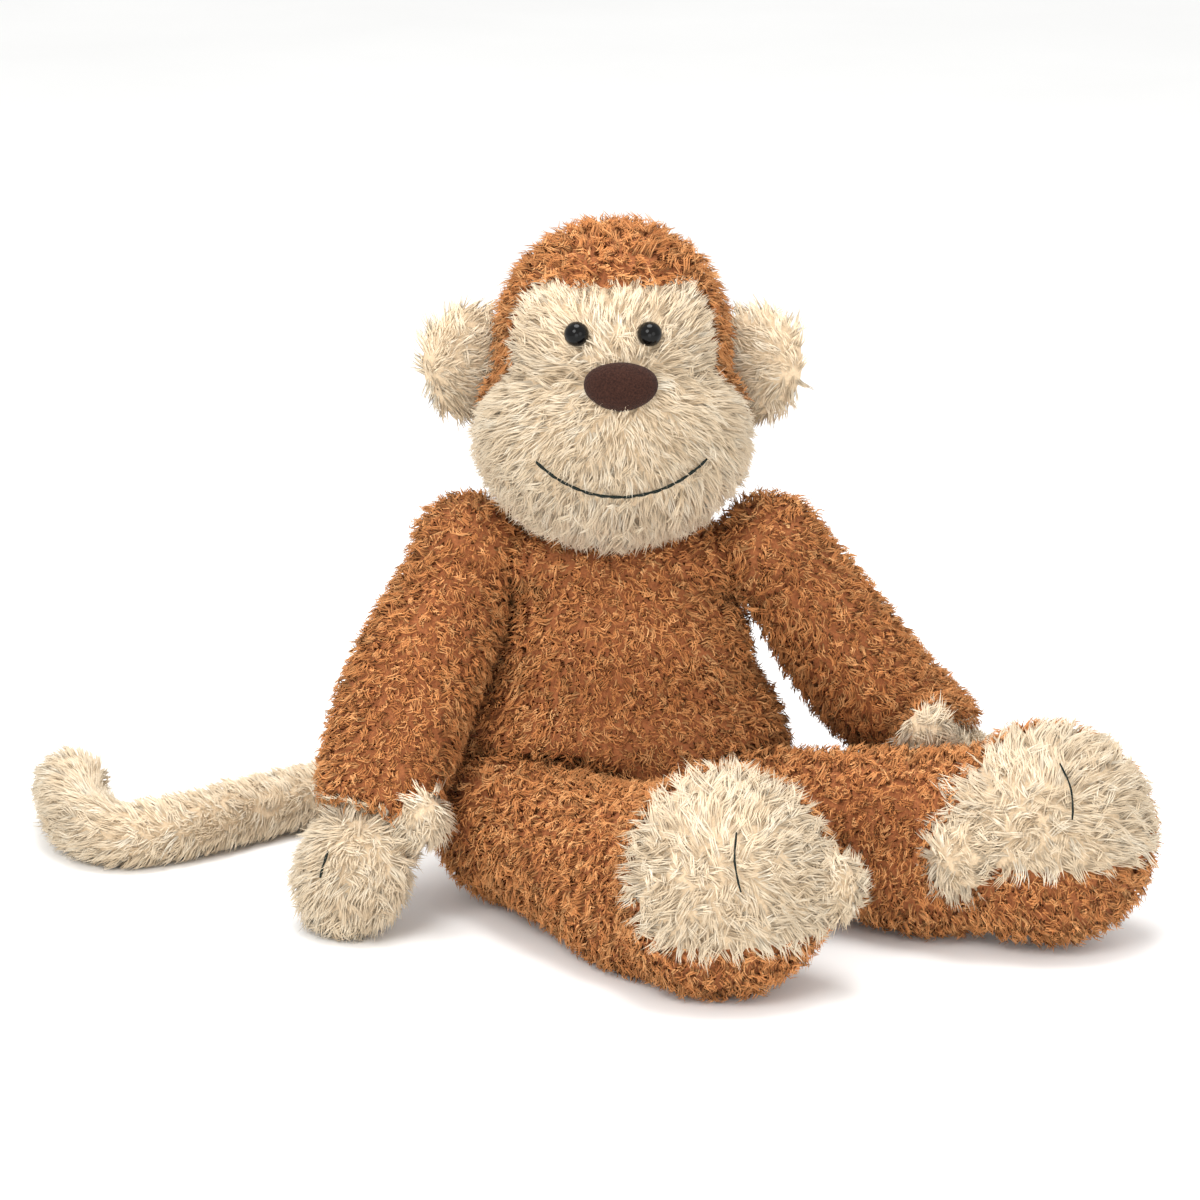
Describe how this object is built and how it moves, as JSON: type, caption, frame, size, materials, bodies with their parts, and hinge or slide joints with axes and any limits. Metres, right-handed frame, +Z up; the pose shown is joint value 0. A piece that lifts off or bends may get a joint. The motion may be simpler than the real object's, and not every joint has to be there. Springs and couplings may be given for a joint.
{
  "type": "stuffed monkey",
  "caption": "Sitting stuffed toy monkey with curly brown plush, cream face, hands, feet and tail, bead eyes and floppy jointed limbs.",
  "frame": {"origin": "middle of the flat seat that the toy sits on, on the floor's level", "axes": "+Z up, the face looks along -Y, the toy's right side is at -X"},
  "size_m": [0.4518, 0.2627, 0.2713],
  "materials": {
    "brown_plush": "curly caramel brown pile, about 6 to 8 mm long",
    "cream_plush": "soft brushed cream pile, about 8 to 10 mm long",
    "stuffing": "white polyester fibre fill",
    "pellet_bag": "plain woven bag of plastic pellets",
    "eye_bead": "polished black",
    "washer": "plain moulded",
    "nose_suede": "dark brown short suede-like pile",
    "thread": "matt twisted embroidery thread"
  },
  "bodies": {
    "torso": {"torso_front_panel": "brown_plush", "torso_back_panel": "brown_plush", "torso_stuffing": "stuffing", "seat_bean_bag": "pellet_bag", "back_closing_seam": "thread"},
    "neck": {"neck_stuffing": "stuffing"},
    "head": {"head_crown": "brown_plush", "face_panel": "cream_plush", "head_stuffing": "stuffing", "right_eye": "eye_bead", "left_eye": "eye_bead", "right_eye_washer": "washer", "left_eye_washer": "washer", "nose": "nose_suede", "mouth_stitching": "thread", "right_ear_front": "cream_plush", "right_ear_back": "cream_plush", "left_ear_front": "cream_plush", "left_ear_back": "cream_plush"},
    "right_arm": {"right_arm_sleeve": "brown_plush", "right_arm_stuffing": "stuffing", "right_hand": "cream_plush", "right_thumb": "cream_plush", "right_palm_stitch": "thread"},
    "left_arm": {"left_arm_sleeve": "brown_plush", "left_arm_stuffing": "stuffing", "left_hand": "cream_plush", "left_thumb": "cream_plush", "left_palm_stitch": "thread"},
    "right_leg": {"right_leg_sleeve": "brown_plush", "right_leg_stuffing": "stuffing", "right_foot_sole": "cream_plush", "right_big_toe": "cream_plush", "right_sole_stitch": "thread"},
    "left_leg": {"left_leg_sleeve": "brown_plush", "left_leg_stuffing": "stuffing", "left_foot_sole": "cream_plush", "left_big_toe": "cream_plush", "left_sole_stitch": "thread"},
    "tail": {"tail_sleeve": "cream_plush", "tail_stuffing": "stuffing"}
  },
  "joints": [
    {"name": "head_turn", "type": "hinge", "parent": "torso", "child": "neck", "pos_m": [0, 0.004, 0.152], "axis": [0, 0, 1], "range_deg": [-35, 35]},
    {"name": "head_nod", "type": "hinge", "parent": "neck", "child": "head", "pos_m": [0, 0.004, 0.152], "axis": [1, 0, 0], "range_deg": [-10, 7]},
    {"name": "right_shoulder", "type": "hinge", "parent": "torso", "child": "right_arm", "pos_m": [-0.06, 0.002, 0.138], "axis": [-0.7986, 0.6018, 0], "range_deg": [0, 80]},
    {"name": "left_shoulder", "type": "hinge", "parent": "torso", "child": "left_arm", "pos_m": [0.06, 0.002, 0.138], "axis": [0.1736, -0.9848, 0], "range_deg": [0, 65]},
    {"name": "right_hip", "type": "hinge", "parent": "torso", "child": "right_leg", "pos_m": [-0.042, -0.018, 0.031], "axis": [-0.7986, -0.6018, 0], "range_deg": [-80, 0]},
    {"name": "left_hip", "type": "hinge", "parent": "torso", "child": "left_leg", "pos_m": [0.042, -0.018, 0.031], "axis": [-0.3746, -0.9272, 0], "range_deg": [-80, 0]},
    {"name": "tail_swing", "type": "hinge", "parent": "torso", "child": "tail", "pos_m": [0, 0.07, 0.034], "axis": [0, 0, 1], "range_deg": [-90, 0]}
  ]
}
